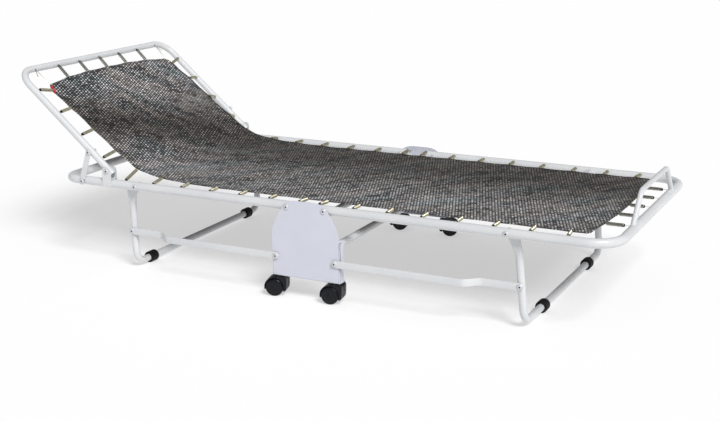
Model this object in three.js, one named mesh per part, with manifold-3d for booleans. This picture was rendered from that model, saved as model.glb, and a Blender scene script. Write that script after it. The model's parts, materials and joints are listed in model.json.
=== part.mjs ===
// Folding cot on casters.
//
// Two bed halves, each a bent tube frame, fold up about bolts in a pair of side plates. A leg hoop and two
// link bars make each half a parallelogram with the plates, so its leg stays upright while it folds. The
// head half carries a hinged backrest on two notched props, and the foot half a low mattress hoop.
// A mesh fabric is stretched inside the frames.
//
// Millimetres. +X is the foot end, +Y the sleeper's left, +Z up; the origin is on the floor, under the
// centre of the cot's bounding box.

import * as THREE from 'three';
import { mergeVertices } from 'three/addons/utils/BufferGeometryUtils.js';
import Module from 'manifold-3d';

const wasm = await Module();
wasm.setup();

// ------------------------------------------------------------------ driving dimensions

const clearance = 0.4;                 // between pieces that meet
const centreX = 63;                    // from the middle of the side plates to the box's centre

const rail = { radius: 12.5, bore: 11.1, y: 367.5, z: 255, overrun: 29 };
const legTube = { radius: 10, bore: 8.8, y: 343.5, bend: 38, topZ: 236 };
const backTube = { radius: 10, bore: 8.8, y: 367.5, bend: 55, overrun: 17 };
const hoopTube = { radius: 7, bore: 5.8, bend: 34 };
const crossTube = { radius: 10, bore: 8.8, x: 86, z: 160 };
const sleeve = { radius: 16.4, length: 33 };

const foldPivot = { x: 56.5, z: rail.z };        // the upper bolts of the side plates
const linkage = { out: 33, down: 140 };          // from each upper pivot to the lower one
const linkZ = rail.z - linkage.down;

// Everything here is measured outwards from the middle of the side plates; sleeves are left, then right.
const halves = {
  head: { outward: -1, endX: 811, bend: 45, legX: 556, floorX: 587, sleeveY: [271, 271] },
  foot: { outward: 1, endX: 836, bend: 75, legX: 563, floorX: 606, sleeveY: [213, 195] },
};

const plate = { outerY: 385, thickness: 2.5, halfWidth: 102, bottomZ: 59, shoulderZ: 180, topZ: 275 };
const plateCurve = {
  shoulderPull: 18, side: [78, 238], crown: [67, 256], crownPull: [60, 268], topPullX: 44, topX: 20,
};
const plateFlange = { thickness: 2, sideDepth: 22, sideTopZ: 172, bottomDepth: 34 };

const link = { width: 20, thickness: 3, plateY: 388, legY: 356, joggleStart: 97, joggleEnd: 147 };

const hinge = { x: -651, z: 292.5 };             // of the backrest
const backrest = { raise: 40.2, length: 410.5, propBolt: 78 };
const bracket = { halfLength: 15.5, thickness: 2.2, topZ: 302.5, bottomZ: 249 };
const prop = { width: 17, thickness: 3, innerY: 381, pinX: -740, pinZ: rail.z, tail: 11 };

const mattressHoop = { footY: 218, cornerY: 138, topZ: 341 };

const caster = { plateX: [-80, 92], y: 368, trail: 20, wheelRadius: 25, wheelFace: 22.5, wheelInner: 8.5 };
const casterTurn = [15, 8];                      // degrees off the cot's length, diagonal pairs alike

const hood = { wheelGap: 1, wall: 2.5, webGap: 0.8, rearAngle: -15, frontAngle: 105, frontX: -15, neckX: 7 };
const hoodChin = { x: -8, z: 14, cornerZ: 22 };  // the hood's lower front edge
const stem = { reach: 9, holeRadius: 4.8 };

const bolt = { radius: 4, headRadius: 8, headHeight: 3, headTaper: 0.7, nutRadius: 6.5, nutHeight: 5.5 };
const boltPlay = 0.6;
const boltHole = bolt.radius + boltPlay;
const axle = { radius: 3, play: 0.6 };
const flangeScrew = { radius: 2, headRadius: 3.5, headHeight: 2, grip: 3, y: 372 };
const ear = { radius: 13, thickness: 3.2, baseZ: 190, endAngle: 63 };
const propSlot = { lean: 24, play: 0.3 };        // degrees off square to the bar

const tubeSides = 12;
const boltSides = 8;
const wheelSides = 20;

const fabric = { halfWidth: 312, thickness: 2.4, seatZ: 262, splitGap: 10, footX: 768 };

const finishes = {
  whiteCoat: { color: 0xe4e5e6, roughness: 0.42, metalness: 0.0 },
  greyCoat: { color: 0xcdd0dd, roughness: 0.48, metalness: 0.0 },
  steel: { color: 0x7d7f7c, roughness: 0.35, metalness: 0.9 },
  rubber: { color: 0x101012, roughness: 0.7, metalness: 0.0 },
  plastic: { color: 0x17181d, roughness: 0.38, metalness: 0.0 },
  mesh: { color: 0x4a4742, roughness: 0.85, metalness: 0.0 },
};

// ------------------------------------------------------------------ joining and cutting

function solidOf(geometry) {
  const bare = geometry.clone();
  bare.deleteAttribute('normal');
  bare.deleteAttribute('uv');
  const merged = mergeVertices(bare, 1e-4);
  const vertProperties = new Float32Array(merged.attributes.position.array);
  const triVerts = new Uint32Array(merged.index.array);
  return new wasm.Manifold(new wasm.Mesh({ numProp: 3, vertProperties, triVerts }));
}

function geometryOf(solid) {
  const { vertProperties, triVerts } = solid.getMesh();
  const geometry = new THREE.BufferGeometry();
  geometry.setAttribute('position', new THREE.BufferAttribute(vertProperties, 3));
  geometry.setIndex(new THREE.BufferAttribute(triVerts, 1));
  geometry.computeVertexNormals();
  return geometry;
}

const joined = (...pieces) => geometryOf(pieces.map(solidOf).reduce((whole, next) => whole.add(next)));
const common = (a, b) => geometryOf(solidOf(a).intersect(solidOf(b)));
const cut = (body, tools) => geometryOf(
  tools.map(solidOf).reduce((rest, tool) => rest.subtract(tool), solidOf(body)));

// ------------------------------------------------------------------ basic forms

const radians = THREE.MathUtils.degToRad;
const sides = [{ name: 'left', y: 1 }, { name: 'right', y: -1 }];

/** A round bar along Y, between two values of Y. */
function rod(radius, x, z, fromY, toY, segments = boltSides) {
  return new THREE.CylinderGeometry(radius, radius, Math.abs(toY - fromY), segments)
    .translate(x, (fromY + toY) / 2, z);
}

/** An outline drawn in X and Z, given a thickness between two values of Y. */
function slab(outline, fromY, toY, curveSegments = 5) {
  const depth = Math.abs(toY - fromY);
  return new THREE.ExtrudeGeometry(outline, { depth, bevelEnabled: false, curveSegments })
    .rotateX(Math.PI / 2)
    .translate(0, Math.max(fromY, toY), 0);
}

/** A round bar along Z, centred on the origin. */
function upright(radius, height) {
  return new THREE.CylinderGeometry(radius, radius, height, boltSides).rotateX(Math.PI / 2);
}

function block(fromX, toX, fromY, toY, fromZ, toZ) {
  return new THREE.BoxGeometry(Math.abs(toX - fromX), Math.abs(toY - fromY), Math.abs(toZ - fromZ))
    .translate((fromX + toX) / 2, (fromY + toY) / 2, (fromZ + toZ) / 2);
}

function ringShape(radius, bore) {
  const ring = new THREE.Shape().absarc(0, 0, radius, 0, 2 * Math.PI);
  ring.holes.push(new THREE.Path().absarc(0, 0, bore, 0, 2 * Math.PI, true));
  return ring;
}

/** A bar outline with round ends, centred on the line from (0, 0) to (length, 0). */
function stadiumShape(length, width, tail = width / 2) {
  const radius = width / 2;
  return new THREE.Shape()
    .moveTo(0, radius)
    .absarc(0, 0, radius, Math.PI / 2, 1.5 * Math.PI)
    .lineTo(length + tail - radius, -radius)
    .absarc(length + tail - radius, 0, radius, -Math.PI / 2, Math.PI / 2)
    .lineTo(0, radius);
}

/** The stations of a path through the given corners, with each corner rounded to the bend radius. */
function roundedPath(corners, bendRadius, bendSteps = 5) {
  const path = [corners[0]];
  for (let i = 1; i < corners.length - 1; i++) {
    const corner = corners[i];
    const back = corners[i - 1].clone().sub(corner).normalize();
    const ahead = corners[i + 1].clone().sub(corner).normalize();
    const half = back.angleTo(ahead) / 2;
    const centre = back.clone().add(ahead).setLength(bendRadius / Math.sin(half)).add(corner);
    const tangentLength = bendRadius / Math.tan(half);
    const start = corner.clone().addScaledVector(back, tangentLength).sub(centre);
    const end = corner.clone().addScaledVector(ahead, tangentLength).sub(centre);
    const axis = start.clone().cross(end).normalize();
    for (let step = 0; step <= bendSteps; step++) {
      const turn = start.angleTo(end) * step / bendSteps;
      path.push(start.clone().applyAxisAngle(axis, turn).add(centre));
    }
  }
  path.push(corners.at(-1));
  return path;
}

/** A curve that is sampled only at its stations, so a straight run costs a single step. */
class StationCurve extends THREE.Curve {
  constructor(stations) {
    super();
    this.stations = stations;
  }

  index(u) {
    return Math.round(u * (this.stations.length - 1));
  }

  getPointAt(u) {
    return this.stations[this.index(u)].clone();
  }

  getTangentAt(u) {
    const before = this.stations[Math.max(this.index(u) - 1, 0)];
    const after = this.stations[Math.min(this.index(u) + 1, this.stations.length - 1)];
    return after.clone().sub(before).normalize();
  }
}

/** An open-ended hollow tube through the given corners. */
function bentTube(corners, bendRadius, { radius, bore }) {
  const stations = roundedPath(corners, bendRadius);
  return new THREE.ExtrudeGeometry(ringShape(radius, bore), {
    steps: stations.length - 1,
    extrudePath: new StationCurve(stations),
    curveSegments: tubeSides / 2,
  });
}

/** A U of tube: in from the open end on one side, across at the far corner, and back on the other. */
function tubeU(open, corner, y, bendRadius, section) {
  const [openX, openZ] = open;
  const [cornerX, cornerZ] = corner;
  return bentTube([
    new THREE.Vector3(openX, -y, openZ),
    new THREE.Vector3(cornerX, -y, cornerZ),
    new THREE.Vector3(cornerX, y, cornerZ),
    new THREE.Vector3(openX, y, openZ),
  ], bendRadius, section);
}

/** Drills for a bolt along Y through both sides of a U of tube. */
function drillPair(x, z, y, depth = 16) {
  return sides.map((side) => rod(boltHole, x, z, side.y * (y - depth), side.y * (y + depth)));
}

/** A headed bolt with its nut, along Y; head and nut faces are given as distances from the middle. */
function boltAcross(x, z, side, headY, nutY, shoulder = null) {
  const outline = [
    [0, nutY - bolt.nutHeight],
    [bolt.nutRadius, nutY - bolt.nutHeight],
    [bolt.nutRadius, nutY],
    [bolt.radius, nutY],
    ...(shoulder ? [
      [bolt.radius, shoulder.from],
      [shoulder.radius, shoulder.from],
      [shoulder.radius, shoulder.to],
      [bolt.radius, shoulder.to],
    ] : []),
    [bolt.radius, headY],
    [bolt.headRadius, headY],
    [bolt.headRadius * bolt.headTaper, headY + bolt.headHeight * 0.8],
    [0, headY + bolt.headHeight],
  ].map(([radius, y]) => new THREE.Vector2(radius, y));
  return new THREE.LatheGeometry(outline, boltSides)
    .rotateZ(side.y > 0 ? 0 : Math.PI)
    .translate(x, 0, z);
}

// ------------------------------------------------------------------ the scene

const cot = new THREE.Group();
cot.position.x = centreX;

function add(parent, name, geometry, finish) {
  const mesh = new THREE.Mesh(geometry, new THREE.MeshStandardMaterial(finishes[finish]));
  mesh.name = name;
  parent.add(mesh);
  return mesh;
}

// ------------------------------------------------------------------ side plates, cross tubes and casters

function plateOutline() {
  const { halfWidth, bottomZ, shoulderZ, topZ } = plate;
  const { shoulderPull, side, crown, crownPull, topPullX, topX } = plateCurve;
  return new THREE.Shape()
    .moveTo(-halfWidth, bottomZ)
    .lineTo(halfWidth, bottomZ)
    .lineTo(halfWidth, shoulderZ)
    .bezierCurveTo(halfWidth, shoulderZ + shoulderPull, ...side, ...crown)
    .bezierCurveTo(...crownPull, topPullX, topZ, topX, topZ)
    .lineTo(-topX, topZ)
    .bezierCurveTo(-topPullX, topZ, -crownPull[0], crownPull[1], -crown[0], crown[1])
    .bezierCurveTo(-side[0], side[1], -halfWidth, shoulderZ + shoulderPull, -halfWidth, shoulderZ);
}

function sidePlate(side) {
  const { outerY, thickness, halfWidth, bottomZ } = plate;
  const flange = plateFlange;
  const outer = side.y * outerY;
  const inner = side.y * (outerY - thickness);
  const sideInner = side.y * (outerY - flange.sideDepth);
  const bottomInner = side.y * (outerY - flange.bottomDepth);
  const pressing = joined(
    slab(plateOutline(), inner, outer),
    ...[-1, 1].map((end) => block(end * (halfWidth - flange.thickness), end * halfWidth,
      sideInner, outer, bottomZ, flange.sideTopZ)),
    block(-halfWidth, halfWidth, bottomInner, outer, bottomZ, bottomZ + flange.thickness),
  );
  const lowerX = foldPivot.x + linkage.out;
  const bolts = [[foldPivot.x, rail.z], [-foldPivot.x, rail.z], [lowerX, linkZ], [-lowerX, linkZ]];
  const stemHoles = caster.plateX.map((x) => upright(stem.holeRadius, 2 * stem.reach)
    .translate(x, side.y * caster.y, bottomZ));
  return cut(pressing, [
    ...bolts.map(([x, z]) => rod(boltHole, x, z, inner - side.y * clearance, outer + side.y * clearance)),
    ...stemHoles,
    flangeDrill(side, 2 * halfWidth + 2 * clearance),
  ]);
}

/** A drill along X for the screws in the side flanges, centred between them. */
function flangeDrill(side, length) {
  const radius = flangeScrew.radius + clearance;
  return new THREE.CylinderGeometry(radius, radius, length, boltSides)
    .rotateZ(Math.PI / 2)
    .translate(0, side.y * flangeScrew.y, crossTube.z);
}

/** A straight tube between the plates; only its outer wall is drilled. */
function undercarriageTube(x) {
  const y = plate.outerY - plate.thickness - clearance;
  const tube = new THREE.ExtrudeGeometry(ringShape(crossTube.radius, crossTube.bore),
    { depth: 2 * y, bevelEnabled: false, curveSegments: tubeSides / 2 })
    .rotateX(Math.PI / 2).translate(x, y, crossTube.z);
  const outerWallX = x + Math.sign(x) * crossTube.radius;
  return cut(tube, sides.map((side) => flangeDrill(side, crossTube.radius).translate(outerWallX, 0, 0)));
}

/** A small pan-head screw that holds a cross tube's end in the plate's side flange. */
function edgeScrew(outward, side) {
  const faceX = plate.halfWidth + clearance;
  const tipX = crossTube.x + crossTube.radius - flangeScrew.grip;
  const outline = [
    [0, tipX],
    [flangeScrew.radius, tipX],
    [flangeScrew.radius, faceX],
    [flangeScrew.headRadius, faceX],
    [flangeScrew.headRadius * bolt.headTaper, faceX + flangeScrew.headHeight * 0.8],
    [0, faceX + flangeScrew.headHeight],
  ].map(([radius, x]) => new THREE.Vector2(radius, x));
  return new THREE.LatheGeometry(outline, boltSides)
    .rotateZ(-outward * Math.PI / 2)
    .translate(0, side.y * flangeScrew.y, crossTube.z);
}

/** The caster's hood and stem: the stem stands on the group's Z axis and the wheels trail along +X. */
function casterHood() {
  const { trail, wheelRadius, wheelFace, wheelInner } = caster;
  const { frontX, neckX } = hood;
  const well = wheelRadius + hood.wheelGap;
  const shell = well + hood.wall;
  const web = wheelInner - hood.webGap;
  const shellY = wheelFace - hood.wall;
  const rear = radians(hood.rearAngle);
  const topZ = plate.bottomZ - 1.5;
  const shoulderZ = topZ - 10;
  const outline = new THREE.Shape()
    .moveTo(hoodChin.x, hoodChin.z)
    .lineTo(trail + shell * Math.cos(rear), wheelRadius + shell * Math.sin(rear))
    .absarc(trail, wheelRadius, shell, rear, radians(hood.frontAngle))
    .lineTo(neckX, topZ)
    .lineTo(-neckX, topZ)
    .quadraticCurveTo(frontX, topZ - 1.5, frontX, shoulderZ)
    .lineTo(frontX, hoodChin.cornerZ)
    .quadraticCurveTo(frontX, hoodChin.z + 1, hoodChin.x, hoodChin.z);
  const body = cut(slab(outline, -shellY, shellY), [
    rod(well, trail, wheelRadius, web, shellY + clearance, wheelSides),
    rod(well, trail, wheelRadius, -web, -shellY - clearance, wheelSides),
    rod(axle.radius + axle.play, trail, wheelRadius, -web - clearance, web + clearance),
  ]);
  return joined(body, upright(bolt.radius, 2 * stem.reach).translate(0, 0, plate.bottomZ - 3));
}

/** Two wheels on one axle. */
function wheelset() {
  const { wheelRadius: radius, wheelFace: face, wheelInner: inner } = caster;
  const halfOutline = [
    [axle.radius, inner],
    [radius - 1.5, inner],
    [radius, inner + 1.5],
    [radius, face - 3],
    [radius - 3, face],
  ];
  const outline = [
    [0, -face],
    ...halfOutline.map(([r, y]) => [r, -y]).reverse(),
    ...halfOutline,
    [0, face],
  ].map(([r, y]) => new THREE.Vector2(r, y));
  return new THREE.LatheGeometry(outline, wheelSides);
}

for (const side of sides) {
  add(cot, `side_plate_${side.name}`, sidePlate(side), 'greyCoat');
  for (const [end, outward] of [['head', -1], ['foot', 1]]) {
    add(cot, `fold_pivot_bolt_${end}_${side.name}`,
      boltAcross(outward * foldPivot.x, foldPivot.z, side, plate.outerY + clearance,
        rail.y - rail.radius - clearance), 'steel');
    add(cot, `link_pivot_bolt_${end}_${side.name}`,
      boltAcross(outward * (foldPivot.x + linkage.out), linkZ, side,
        link.plateY + link.thickness / 2 + clearance, plate.outerY - plate.thickness - clearance), 'steel');
    add(cot, `cross_tube_screw_${end}_${side.name}`, edgeScrew(outward, side), 'steel');

    const turn = casterTurn[outward * side.y > 0 ? 0 : 1];
    const unit = new THREE.Group();
    unit.position.set(caster.plateX[outward < 0 ? 0 : 1], side.y * caster.y, 0);
    unit.rotation.z = radians(side.y < 0 ? 180 + turn : turn);
    cot.add(unit);
    add(unit, `caster_hood_${end}_${side.name}`, casterHood(), 'plastic');
    add(unit, `caster_wheels_${end}_${side.name}`, wheelset(), 'plastic')
      .position.set(caster.trail, 0, caster.wheelRadius);
  }
}
add(cot, 'cross_tube_head', undercarriageTube(-crossTube.x), 'whiteCoat');
add(cot, 'cross_tube_foot', undercarriageTube(crossTube.x), 'whiteCoat');

// ------------------------------------------------------------------ bed halves, legs and links

function halfFrame(half) {
  const frame = tubeU([foldPivot.x - rail.overrun, rail.z], [half.endX, rail.z], rail.y, half.bend, rail);
  const holes = [foldPivot.x, half.legX, ...(half === halves.head ? [-prop.pinX] : [])];
  return cut(frame, holes.flatMap((x) => drillPair(x, rail.z, rail.y)));
}

/** The leg's centre line leans from the floor through the link bolt. */
function legX(half, z) {
  const boltX = half.legX + linkage.out;
  return half.floorX + (boltX - half.floorX) * (z - sleeve.radius) / (linkZ - sleeve.radius);
}

const earOuterY = rail.y - rail.radius - 2 * clearance;

/** The flat ear on a leg's top end, which takes the pivot bolt in the rail. */
function legEar(half) {
  const inset = 1.5;                             // keeps the ear's edges inside the tube's wall
  const outerX = legX(half, legTube.topZ) + legTube.radius - inset;
  const baseX = legX(half, ear.baseZ);
  const reach = legTube.radius - inset;
  return new THREE.Shape()
    .moveTo(outerX, legTube.topZ)
    .lineTo(baseX + reach, ear.baseZ)
    .lineTo(baseX - reach, ear.baseZ)
    .quadraticCurveTo(baseX - reach, legTube.topZ - 16, half.legX - ear.radius, rail.z)
    .absarc(half.legX, rail.z, ear.radius, Math.PI, radians(ear.endAngle), true);
}

function leg(half) {
  const bow = tubeU([legX(half, legTube.topZ), legTube.topZ], [half.floorX, sleeve.radius],
    legTube.y, legTube.bend, legTube);
  const ears = sides.map((side) => slab(legEar(half), side.y * (earOuterY - ear.thickness),
    side.y * earOuterY));
  return cut(joined(bow, ...ears), [
    ...drillPair(half.legX, rail.z, legTube.y),
    ...drillPair(half.legX + linkage.out, linkZ, legTube.y),
  ]);
}

function footSleeve(half, middleY) {
  return new THREE.ExtrudeGeometry(ringShape(sleeve.radius, legTube.radius + clearance),
    { depth: sleeve.length, bevelEnabled: false, curveSegments: 8 })
    .rotateX(Math.PI / 2)
    .translate(half.floorX, middleY + sleeve.length / 2, sleeve.radius);
}

/** A flat bar from the side plate to the leg, stepped inwards near the leg. */
function linkBar(half, side) {
  const startX = foldPivot.x + linkage.out;
  const endX = half.legX + linkage.out;
  const reach = link.width / 2;
  const near = (y) => side * (y - link.thickness / 2);
  const far = (y) => side * (y + link.thickness / 2);
  const plan = new THREE.Shape()
    .moveTo(startX - reach, near(link.plateY))
    .lineTo(endX - link.joggleEnd, near(link.plateY))
    .lineTo(endX - link.joggleStart, near(link.legY))
    .lineTo(endX + reach, near(link.legY))
    .lineTo(endX + reach, far(link.legY))
    .lineTo(endX - link.joggleStart, far(link.legY))
    .lineTo(endX - link.joggleEnd, far(link.plateY))
    .lineTo(startX - reach, far(link.plateY));
  const strip = new THREE.ExtrudeGeometry(plan, { depth: link.width + 2, bevelEnabled: false })
    .translate(0, 0, linkZ - link.width / 2 - 1);
  const elevation = slab(stadiumShape(endX - startX, link.width), side * (link.legY - link.thickness),
    side * (link.plateY + link.thickness)).translate(startX, 0, linkZ);
  const holes = [[startX, link.plateY], [endX, link.legY]];
  return cut(common(strip, elevation),
    holes.map(([x, y]) => rod(boltHole, x, linkZ, side * (y - link.thickness), side * (y + link.thickness))));
}

for (const [end, half] of Object.entries(halves)) {
  const group = new THREE.Group();
  group.rotation.z = half.outward > 0 ? 0 : Math.PI;
  cot.add(group);
  add(group, `${end}_half_frame`, halfFrame(half), 'whiteCoat');
  add(group, `${end}_leg`, leg(half), 'whiteCoat');
  for (const side of sides) {
    // The head half is the outward layout turned half round, which swaps its sides.
    const turned = { name: side.name, y: side.y * half.outward };
    const sleeveY = turned.y * half.sleeveY[sides.indexOf(side)];
    add(group, `${end}_leg_sleeve_${side.name}`, footSleeve(half, sleeveY), 'rubber');
    add(group, `${end}_link_bar_${side.name}`, linkBar(half, turned.y), 'whiteCoat');
    add(group, `${end}_leg_pivot_bolt_${side.name}`,
      boltAcross(half.legX, rail.z, turned, rail.y + rail.radius + clearance,
        earOuterY - ear.thickness - clearance), 'steel');
    add(group, `${end}_leg_link_bolt_${side.name}`,
      boltAcross(half.legX + linkage.out, linkZ, turned, link.legY + link.thickness / 2 + clearance,
        legTube.y - legTube.radius - clearance), 'steel');
  }
}

/** The low hoop on the foot crossbar that keeps a mattress from sliding. */
function hoop() {
  const { footY, cornerY, topZ } = mattressHoop;
  const { endX } = halves.foot;
  const arch = bentTube([
    new THREE.Vector3(endX, -footY, rail.z),
    new THREE.Vector3(endX, -cornerY, topZ),
    new THREE.Vector3(endX, cornerY, topZ),
    new THREE.Vector3(endX, footY, rail.z),
  ], hoopTube.bend, hoopTube);
  const span = footY + hoopTube.bend;
  return cut(arch, [rod(rail.radius + clearance, endX, rail.z, -span, span, 2 * tubeSides)]);
}

add(cot, 'mattress_hoop', hoop(), 'whiteCoat');

// ------------------------------------------------------------------ backrest, brackets and props

const raise = radians(backrest.raise);

/** A point of the backrest: distance up from its hinge, and height above the plane of its tubes. */
function onBackrest(up, above = 0) {
  return new THREE.Vector2(
    hinge.x - up * Math.cos(raise) + above * Math.sin(raise),
    hinge.z + up * Math.sin(raise) + above * Math.cos(raise),
  );
}

function backrestFrame() {
  const open = onBackrest(-backTube.overrun);
  const corner = onBackrest(backrest.length);
  const propBolt = onBackrest(backrest.propBolt);
  const frame = tubeU(open.toArray(), corner.toArray(), backTube.y, backTube.bend, backTube);
  return cut(frame, [
    ...drillPair(hinge.x, hinge.z, backTube.y, 14),
    ...drillPair(propBolt.x, propBolt.y, backTube.y, 14),
  ]);
}

/** A channel that straddles the rail and holds the backrest's hinge bolt between its cheeks. */
function hingeBracket(side) {
  const { halfLength, thickness, topZ, bottomZ } = bracket;
  const cheek = new THREE.Shape()
    .moveTo(-halfLength, bottomZ)
    .lineTo(halfLength, bottomZ)
    .lineTo(halfLength, topZ - 12)
    .quadraticCurveTo(halfLength, topZ, halfLength - 10, topZ)
    .lineTo(10 - halfLength, topZ)
    .quadraticCurveTo(-halfLength, topZ, -halfLength, topZ - 12);
  const outerY = rail.y + rail.radius + clearance + thickness;
  const innerY = rail.y - rail.radius - clearance - thickness;
  const webZ = rail.z + rail.radius + clearance;
  const channel = joined(
    slab(cheek, side.y * outerY, side.y * (outerY - thickness)),
    slab(cheek, side.y * innerY, side.y * (innerY + thickness)),
    block(-halfLength, halfLength, side.y * innerY, side.y * outerY, webZ, webZ + thickness),
  ).translate(hinge.x, 0, 0);
  return cut(channel, [rod(boltHole, hinge.x, hinge.z,
    side.y * (innerY - thickness), side.y * (outerY + thickness))]);
}

const propTop = onBackrest(backrest.propBolt);
const propReach = new THREE.Vector2(prop.pinX, prop.pinZ).sub(propTop);

/** A flat prop, drawn from its bolt along +X, with a slot that lets go of the rail pin sideways. */
function propBar(side) {
  const { width, thickness, innerY, tail } = prop;
  const length = propReach.length();
  const slotRadius = boltHole + propSlot.play;
  const under = side.y * (innerY - thickness);
  const over = side.y * (innerY + 2 * thickness);
  const bar = slab(stadiumShape(length, width, tail), side.y * innerY, side.y * (innerY + thickness));
  const slot = new THREE.BoxGeometry(2 * slotRadius, 4 * thickness, width)
    .translate(0, 0, width / 2)
    .rotateY(-radians(propSlot.lean))
    .translate(length, side.y * innerY, 0);
  return cut(bar, [rod(boltHole, 0, 0, under, over), rod(slotRadius, length, 0, under, over), slot]);
}

add(cot, 'backrest_frame', backrestFrame(), 'whiteCoat');
for (const side of sides) {
  const railInnerY = rail.y - rail.radius;
  add(cot, `hinge_bracket_${side.name}`, hingeBracket(side), 'greyCoat');
  add(cot, `hinge_bolt_${side.name}`,
    boltAcross(hinge.x, hinge.z, side, rail.y + rail.radius + 2 * clearance + bracket.thickness,
      railInnerY - 2 * clearance - bracket.thickness), 'steel');

  const bar = add(cot, `prop_${side.name}`, propBar(side), 'whiteCoat');
  bar.position.set(propTop.x, 0, propTop.y);
  bar.rotation.y = -propReach.angle();
  const headY = prop.innerY + prop.thickness + clearance;
  add(cot, `prop_bolt_${side.name}`,
    boltAcross(propTop.x, propTop.y, side, headY, backTube.y - backTube.radius - clearance,
      { radius: 6, from: backTube.y + backTube.radius + clearance, to: prop.innerY - clearance }), 'steel');
  add(cot, `prop_pin_${side.name}`,
    boltAcross(prop.pinX, prop.pinZ, side, headY, railInnerY - clearance), 'steel');
}

// ------------------------------------------------------------------ stretched fabric

/** A sheet whose side view is the given curve, drawn from the head end towards the foot end. */
function sheet(profile, steps) {
  const curve = new THREE.SplineCurve(profile);
  const under = curve.getPoints(steps);
  const over = under.map((point, i) => {
    const along = curve.getTangent(i / steps);
    return new THREE.Vector2(-along.y, along.x).multiplyScalar(fabric.thickness).add(point);
  });
  return slab(new THREE.Shape([...under, ...over.reverse()]), -fabric.halfWidth, fabric.halfWidth);
}

const flatSheet = (fromX, toX) => block(fromX, toX, -fabric.halfWidth, fabric.halfWidth,
  fabric.seatZ, fabric.seatZ + fabric.thickness);

const seat = (x, rise = 0) => new THREE.Vector2(x, fabric.seatZ + rise);

add(cot, 'fabric_backrest', sheet([
  onBackrest(360, 2), onBackrest(270, 7), onBackrest(165, 14), onBackrest(80, 20), onBackrest(10, 26),
], 10), 'mesh');
add(cot, 'fabric_head', sheet([
  seat(-626, 47), seat(-598, 31), seat(-548, 14), seat(-500, 6), seat(-440, 2), seat(-380, 0),
  seat(-foldPivot.x - fabric.splitGap, 0),
], 14), 'mesh');
add(cot, 'fabric_centre', flatSheet(fabric.splitGap - foldPivot.x, foldPivot.x - fabric.splitGap), 'mesh');
add(cot, 'fabric_foot', flatSheet(foldPivot.x + fabric.splitGap, fabric.footX), 'mesh');

export default cot;
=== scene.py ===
"""Folding cot: the finished surfaces, fabric and springs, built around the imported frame.

Metres. +X is the foot end, +Y the sleeper's left, +Z up, with the origin on the floor under the cot.
"""
import json
from math import atan2, copysign, cos, degrees, pi, radians, sin, sqrt, tan

import bmesh
import bpy
from mathutils import Matrix, Vector


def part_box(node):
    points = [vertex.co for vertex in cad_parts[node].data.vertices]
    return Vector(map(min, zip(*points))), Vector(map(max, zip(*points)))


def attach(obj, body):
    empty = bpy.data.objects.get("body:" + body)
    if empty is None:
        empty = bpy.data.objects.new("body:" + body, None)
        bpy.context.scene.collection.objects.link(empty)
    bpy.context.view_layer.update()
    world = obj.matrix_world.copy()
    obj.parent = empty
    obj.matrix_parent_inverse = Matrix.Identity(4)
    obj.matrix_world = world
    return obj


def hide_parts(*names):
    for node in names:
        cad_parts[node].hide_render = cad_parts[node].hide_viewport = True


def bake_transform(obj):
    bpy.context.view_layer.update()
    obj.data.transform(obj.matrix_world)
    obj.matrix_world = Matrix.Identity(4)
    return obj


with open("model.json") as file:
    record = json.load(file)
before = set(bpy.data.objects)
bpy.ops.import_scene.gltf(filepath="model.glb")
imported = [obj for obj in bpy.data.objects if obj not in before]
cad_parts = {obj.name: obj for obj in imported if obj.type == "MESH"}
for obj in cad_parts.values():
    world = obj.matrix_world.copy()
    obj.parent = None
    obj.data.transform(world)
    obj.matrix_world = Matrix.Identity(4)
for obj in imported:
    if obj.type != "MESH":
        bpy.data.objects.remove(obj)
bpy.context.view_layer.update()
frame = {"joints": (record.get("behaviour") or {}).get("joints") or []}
MM = 0.001
SIDES = {"left": 1, "right": -1}
ENDS = {"head": -1, "foot": 1}


# ---------- places taken from the frame

def middle(node):
    low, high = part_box(node)
    return (low + high) / 2


def extent(node):
    low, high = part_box(node)
    return high - low


def pivot(joint_name):
    return Vector(next(j["pos_m"] for j in frame["joints"] if j["name"] == joint_name))


RAIL_R = extent("foot_half_frame").z / 2
RAIL_Z = middle("foot_half_frame").z
RAIL_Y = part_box("foot_half_frame")[1].y - RAIL_R
FRAME_OPEN_X = {"head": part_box("head_half_frame")[1].x, "foot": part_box("foot_half_frame")[0].x}
FRAME_END_X = {
    "head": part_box("head_half_frame")[0].x + RAIL_R,
    "foot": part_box("foot_half_frame")[1].x - RAIL_R,
}
FRAME_BEND = {"head": 45 * MM, "foot": 75 * MM}
TUBE_WALL = 1.4 * MM
THIN_WALL = 1.2 * MM
THIN_R = extent("cross_tube_head").x / 2
FOLD = {"head": pivot("head_fold"), "foot": pivot("foot_fold")}
LEG_TOP = {"head": pivot("head_leg_swing"), "foot": pivot("foot_leg_swing")}
LINK_Z = pivot("head_link_swing").z
HINGE = pivot("backrest_lower")
PROP_TOP = middle("prop_bolt_right")
PROP_PIN = middle("prop_pin_right")
BACK_R = THIN_R
BACK_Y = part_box("backrest_frame")[1].y - BACK_R
BACK_ALONG = Vector((PROP_TOP.x - HINGE.x, 0, PROP_TOP.z - HINGE.z)).normalized()
BACK_ABOVE = Vector((BACK_ALONG.z, 0, -BACK_ALONG.x))
BACK_LENGTH = (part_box("backrest_frame")[1].z - BACK_R - HINGE.z) / BACK_ALONG.z
BACK_OVERRUN = 17 * MM
BACK_BEND = 55 * MM
CENTRE_X = middle("side_plate_left").x
FABRIC_Y = extent("fabric_foot").y / 2
SEAT_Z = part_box("fabric_foot")[1].z


def on_backrest(up, above=0.0, y=0.0):
    """A point at a distance up from the hinge and a height above the plane of the backrest's tubes."""
    place = HINGE + BACK_ALONG * up + BACK_ABOVE * above
    return Vector((place.x, y, place.z))


# ---------- shader building

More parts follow.
